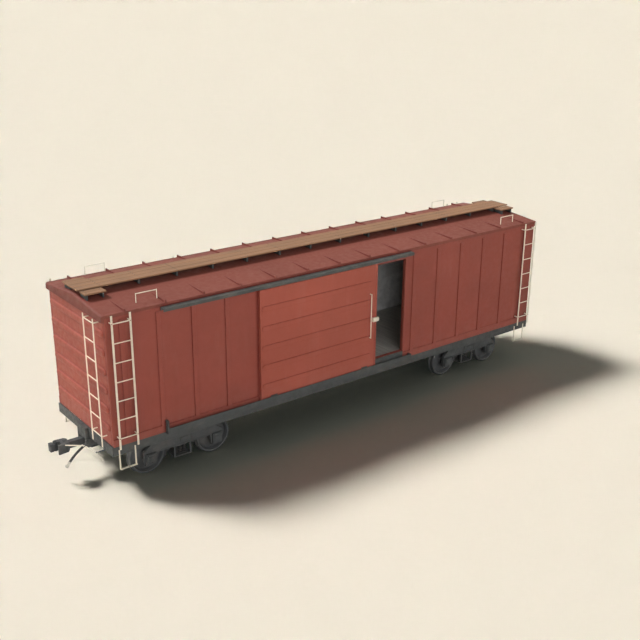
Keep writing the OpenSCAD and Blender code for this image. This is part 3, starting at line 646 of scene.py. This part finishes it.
def add_running_boards():
    """Three planks along the roof and two on each corner platform, with their bolts."""
    chance = random.Random(5)
    plank = 2 * BOARD_HALF / 3
    p = Piece()
    bolts = Piece()
    joints = [-BOARD_END, SEAMS[2], SEAMS[5], SEAMS[8], SEAMS[11], BOARD_END]
    for row in range(3):
        y = -BOARD_HALF + row * plank
        for a, b in zip(joints, joints[1:]):
            drop = chance.uniform(0, 0.0025)
            p.block((a + (0.0015 if a > -BOARD_END else 0), b - (0.0015 if b < BOARD_END else 0)),
                    (y + (0.004 if row else 0), y + plank - (0.004 if row < 2 else 0)),
                    (BOARD_TOP - BOARD_THICK, BOARD_TOP - drop))
        for x in SEAMS:
            for dy in (0.05, 0.15):
                bolts.rivet((x, y + dy, BOARD_TOP - 0.001), (0, 0, 1), 0.011, 0.004)
    obj = p.make("running_boards", BOARD, bevel=0.004)
    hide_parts("running_board")
    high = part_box("lateral_boards")[1]
    q = Piece()
    for s in (-1, 1):
        for t in (-1, 1):
            xs = sorted((s * (high[0] - 0.47), s * high[0]))
            for a, b in ((0.29, 0.422), (0.428, 0.56)):
                q.block(xs, sorted((t * a, t * b)), (high[2] - BOARD_THICK, high[2]))
                for x in (xs[0] + 0.06, xs[1] - 0.06):
                    bolts.rivet((x, t * (a + b) / 2, high[2]), (0, 0, 1), 0.011, 0.005)
    obj = q.make("corner_platforms", BOARD, bevel=0.004)
    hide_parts("lateral_boards")
    bolts.make("running_board_bolts", BLACK)


def add_door_details():
    """Edge stiles, rivets and roller shoes on the outer face of both doors."""
    for side, body in (("right", "right_door"), ("left", "left_door")):
        low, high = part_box(body)
        turn = 1 if side == "right" else -1
        face = SHEET_Y + POST_OUT + DOOR_GAP + DOOR_THICK
        stiles = Piece()
        x0, x1 = low[0], high[0]
        foot = low[2] + 0.021
        for x in ((x0, x0 + 0.04), (x1 - 0.04, x1)):
            stiles.block(x, sorted((-turn * face, -turn * (face + 0.009))), (foot, DOOR_TOP))
            middle = (x[0] + x[1]) / 2
            for i in range(25):
                stiles.rivet((middle, -turn * (face + 0.009), foot + 0.06 + i * 0.105), (0, -turn, 0),
                             0.008, 0.003)
        for z in (foot, DOOR_TOP - 0.045):
            stiles.block((x0 + 0.04, x1 - 0.04), sorted((-turn * face, -turn * (face + 0.007))),
                         (z, z + 0.045))
        stiles.make(side + "_door_stiles", DOOR_RED, body, bevel=0.003)
        shoes = Piece()
        for x in (x0 + 0.35, x1 - 0.35):
            shoes.block((x - 0.09, x + 0.09), sorted((-turn * face, -turn * (face + 0.012))),
                        (foot, foot + 0.12))
            for dx in (-0.06, 0.06):
                shoes.bolt((x + dx, -turn * (face + 0.011), foot + 0.085), (0, -turn, 0), 0.011, 0.003)
        shoes.make(side + "_door_roller_shoes", BLACK, body, bevel=0.002)


def add_ladder_bolts():
    p = Piece()
    for s in (-1, 1):
        for dx in (-LADDER_HALF, LADDER_HALF):
            x = s * LADDER_X + dx
            for z in (TOP_RUNG_Z, TOP_RUNG_Z - (RUNG_COUNT - 1) * RUNG_PITCH):
                p.block((x - 0.028, x + 0.028), (-SHEET_Y - 0.008, -SHEET_Y), (z - 0.04, z + 0.04))
                p.bolt((x, -SHEET_Y - 0.134, z), (0, -1, 0), 0.011, 0.007)
    p.mirrored(y=True)
    p.make("ladder_feet", BODY_RED, bevel=0.002)


def helix(x, y, low, high, radius, turns, count=14):
    steps = int(turns * count)
    path = []
    for i in range(steps + 1):
        angle = 2 * math.pi * turns * i / steps
        path.append((x + radius * math.cos(angle), y + radius * math.sin(angle),
                     low + (high - low) * i / steps))
    return path


def add_truck_details():
    for end, s in (("a", -1), ("b", 1)):
        body = "truck_" + end
        middle = s * TRUCK_X
        coils = Piece()
        for y in (-SPRING_Y, SPRING_Y):
            for dx in SPRING_X:
                coils.tube(helix(middle + dx, y, 0.250, 0.445, 0.036, 4.6), 0.0115, 8)
                coils.rod((middle + dx, y, 0.235), (middle + dx, y, 0.243), 0.048, 24)
                coils.rod((middle + dx, y, 0.452), (middle + dx, y, 0.460), 0.048, 24)
        obj = coils.make("spring_coils_" + end, DEEP, body)
        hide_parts("truck_springs_" + end)
        cast = Piece()
        face = -FRAME_FACE
        for t in (-1, 1):
            x = middle + t * AXLE_X
            lid = -JOURNAL_FACE
            cast.block((x - 0.095, x + 0.095), (lid - 0.012, lid), (AXLE_Z - 0.10, AXLE_Z + 0.095))
            cast.block((x - 0.075, x + 0.075), (lid - 0.020, lid), (AXLE_Z - 0.06, AXLE_Z + 0.06))
            cast.rod((x - 0.07, lid - 0.012, AXLE_Z + 0.105), (x + 0.07, lid - 0.012, AXLE_Z + 0.105),
                     0.016, 14)
            cast.block((x - 0.02, x + 0.02), (lid - 0.026, lid), (AXLE_Z - 0.115, AXLE_Z - 0.08))
            for dx in (-0.135, 0.135):
                cast.rod((x + dx, face + 0.045, AXLE_Z - 0.135), (x + dx, face + 0.045, AXLE_Z + 0.20),
                         0.016, 12)
                cast.bolt((x + dx, face + 0.045, AXLE_Z - 0.140), (0, 0, -1), 0.026, 0.022)
        cast.block((middle - 0.70, middle + 0.70), (face - 0.012, face), (AXLE_Z + 0.300, AXLE_Z + 0.330))
        cast.block((middle - 0.64, middle + 0.64), (face - 0.012, face), (AXLE_Z + 0.100, AXLE_Z + 0.130))
        for dx in (-0.19, 0.19):
            cast.block((middle + dx - 0.015, middle + dx + 0.015), (face - 0.012, face),
                       (AXLE_Z + 0.12, AXLE_Z + 0.31))
        cast.block((middle - 0.10, middle + 0.10), (face - 0.016, face), (AXLE_Z + 0.16, AXLE_Z + 0.27))
        for dx in (-0.07, 0.07):
            for z in (0.185, 0.245):
                cast.bolt((middle + dx, face - 0.016, AXLE_Z + z), (0, -1, 0), 0.012, 0.010)
        cast.mirrored(y=True)
        cast.make("journal_lids_" + end, CAST, body, bevel=0.004)
        brakes = Piece()
        for t in (-1, 1):
            centre = middle + t * AXLE_X
            arc = [math.pi * (1 + k / 8 * 0.24 - 0.12) for k in range(9)]
            inner = [(centre + t * math.cos(a) * 0.430, AXLE_Z + math.sin(a) * 0.430) for a in arc]
            outer = [(centre + t * math.cos(a) * 0.470, AXLE_Z + math.sin(a) * 0.470) for a in arc]
            brakes.outline(inner + list(reversed(outer)), SHOE_Y, SHOE_Y + 0.075)
            brakes.block(sorted((centre - t * 0.468, centre - t * 0.530)), (SHOE_Y + 0.010, SHOE_Y + 0.065),
                         (AXLE_Z - 0.05, AXLE_Z + 0.05))
        brakes.mirrored(y=True)
        for t in (-1, 1):
            x = middle + t * (AXLE_X - 0.525)
            brakes.rod((x, -0.80, AXLE_Z - 0.02), (x, 0.80, AXLE_Z - 0.02), 0.024, 16)
            brakes.rod((x, -0.70, AXLE_Z - 0.02), (x - t * 0.10, 0, AXLE_Z - 0.02), 0.015, 12)
            brakes.rod((x, 0.70, AXLE_Z - 0.02), (x - t * 0.10, 0, AXLE_Z - 0.02), 0.015, 12)
            for y in (-0.77, 0.77):
                brakes.rod((x, y, AXLE_Z), (x - t * 0.03, y * 1.155, AXLE_Z + 0.20), 0.011, 10)
        brakes.make("truck_brakes_" + end, DEEP, body, bevel=0.0)


def add_coupler_details():
    for end, s in (("a", -1), ("b", 1)):
        p = Piece()
        pin = (s * 7.0, -s * 0.1)
        p.rod((*pin, COUPLER_Z + 0.105), (*pin, COUPLER_Z + 0.124), 0.032, 20, 0.026)
        p.rod((s * 6.83, -s * 0.02, COUPLER_Z + 0.103), (s * 6.83, -s * 0.02, COUPLER_Z + 0.118), 0.040, 20)
        p.make("coupler_pin_" + end, CAST, "coupler_" + end, bevel=0.003)


def add_brake_pipes():
    """Pipes from the control valve to the reservoir and the cylinder, and the cylinder's flange bolts."""
    p = Piece()
    low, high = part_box("brake_valve")
    y = (low.y + high.y) / 2
    p.tube(rounded([(high.x - 0.01, y, 0.955), (high.x + 0.25, y, 0.955), (high.x + 0.25, y, 1.155),
                    (high.x + 0.25, -0.20, 1.155)], 0.08), 0.016, 10)
    p.tube(rounded([(low.x + 0.01, y, 0.955), (low.x - 0.20, y, 0.955), (low.x - 0.20, y, 1.155),
                    (low.x - 0.20, -0.20, 1.155)], 0.08), 0.016, 10)
    p.make("valve_pipes", BLACK)
    bolts = Piece()
    for i in range(8):
        a = 2 * math.pi * (i + 0.5) / 8
        place = (1.30, 0.62 + 0.163 * math.cos(a), 0.90 + 0.163 * math.sin(a))
        bolts.bolt(place, (1, 0, 0), 0.010, 0.010)
    bolts.make("brake_cylinder_bolts", BLACK)


LEVER = [(0.600, 0.286, 0.975), (0.291, 0.535, 0.975), (0.210, 1.000, 0.975), (0.155, 1.143, 0.840)]


def add_levers():
    p = Piece()
    brackets = Piece()
    for s in (-1, 1):
        path = [(s * (END_X + u), s * y, z) for u, y, z in LEVER]
        p.tube(rounded(path, 0.07), 0.0115, 12)
        for y, u in ((0.58, 0.285), (0.97, 0.215)):
            brackets.block(sorted((s * (END_X + 0.03), s * (END_X + u))),
                           sorted((s * (y - 0.006), s * (y + 0.006))), (0.960, 0.990))
            brackets.block(sorted((s * (END_X + 0.03), s * (END_X + 0.038))),
                           sorted((s * (y - 0.03), s * (y + 0.03))), (0.966, 1.035))
            brackets.rod((s * (END_X + u - 0.005), s * (y - 0.012), 0.975),
                         (s * (END_X + u - 0.005), s * (y + 0.012), 0.975), 0.022, 16)
    obj = p.make("uncoupling_rods", CREAM)
    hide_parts("uncoupling_levers")
    brackets.make("uncoupling_rod_brackets", BLACK, bevel=0.002)


add_side_rivets()
add_end_rivets()
add_door_frames()
add_floor_boards()
add_running_boards()
add_door_details()
add_ladder_bolts()
add_truck_details()
add_coupler_details()
add_brake_pipes()
add_levers()


# ---------------------------------------------------------------- stage and light
SURROUND = (0.888, 0.807, 0.668)
SUN_ELEVATION = math.radians(51)
SUN_HEADING = (0.618, -0.786)          # the way the light travels, seen from above
FILL_HEADING = (0.22, 0.975)
END_FILL_HEADING = (0.97, -0.24)
END_FILL_ELEVATION = math.radians(20)
FILL_ELEVATION = math.radians(12)


def add_sun(name, heading, elevation, strength, angle, colour=(1, 1, 1)):
    data = bpy.data.lights.new(name, "SUN")
    data.energy = strength * math.pi
    data.angle = math.radians(angle)
    data.color = colour
    lamp = bpy.data.objects.new(name, data)
    bpy.context.scene.collection.objects.link(lamp)
    flat = math.cos(elevation)
    way = Vector((heading[0] * flat, heading[1] * flat, -math.sin(elevation)))
    lamp.rotation_euler = way.to_track_quat("-Z", "Y").to_euler()
    return lamp


def add_floor():
    s = Shader("floor")
    s.finish(SURROUND, 0.9, specular=0.1)
    bm = bmesh.new()
    bmesh.ops.create_grid(bm, x_segments=8, y_segments=8, size=400)
    mesh = mesh_of(bm, "floor")
    mesh.materials.append(s.material)
    floor = bpy.data.objects.new("floor", mesh)
    bpy.context.scene.collection.objects.link(floor)
    return floor


def add_world():
    world = bpy.data.worlds.new("studio")
    bpy.context.scene.world = world
    world.use_nodes = True
    tree = world.node_tree
    tree.nodes.clear()
    path = tree.nodes.new("ShaderNodeLightPath")
    seen = tree.nodes.new("ShaderNodeMath")
    seen.operation = "MAXIMUM"
    tree.links.new(path.outputs["Is Camera Ray"], seen.inputs[0])
    glossy = tree.nodes.new("ShaderNodeMath")
    glossy.operation = "MAXIMUM"
    tree.links.new(path.outputs["Is Glossy Ray"], glossy.inputs[0])
    tree.links.new(path.outputs["Is Transmission Ray"], glossy.inputs[1])
    tree.links.new(glossy.outputs[0], seen.inputs[1])
    dome = tree.nodes.new("ShaderNodeBackground")
    dome.inputs["Color"].default_value = (0.92, 1.0, 0.98, 1)
    dome.inputs["Strength"].default_value = SKY
    backdrop = tree.nodes.new("ShaderNodeBackground")
    backdrop.inputs["Color"].default_value = (*SURROUND, 1)
    mix = tree.nodes.new("ShaderNodeMixShader")
    tree.links.new(seen.outputs[0], mix.inputs[0])
    tree.links.new(dome.outputs[0], mix.inputs[1])
    tree.links.new(backdrop.outputs[0], mix.inputs[2])
    out = tree.nodes.new("ShaderNodeOutputWorld")
    tree.links.new(mix.outputs[0], out.inputs["Surface"])


SKY = 0.10
floor = add_floor()
add_world()
add_sun("key", SUN_HEADING, SUN_ELEVATION, 1.15, 16)
not_floor = bpy.data.collections.new("lit_by_fill")
not_floor.objects.link(floor)
not_floor.collection_objects[0].light_linking.link_state = "EXCLUDE"
for lamp in (add_sun("fill", FILL_HEADING, FILL_ELEVATION, 0.86, 60),
             add_sun("end_fill", END_FILL_HEADING, END_FILL_ELEVATION, 0.45, 60)):
    lamp.light_linking.receiver_collection = not_floor
# A faint light on the floor alone evens out the red that the car's side throws into its shadow
only_floor = bpy.data.collections.new("lit_by_floor_tint")
only_floor.objects.link(floor)
tint = add_sun("floor_tint", (1, 0), math.radians(89), 0.009, 90, (0.35, 1.0, 1.25))
tint.data.use_shadow = False
tint.light_linking.receiver_collection = only_floor
bpy.context.scene.view_settings.view_transform = "Standard"
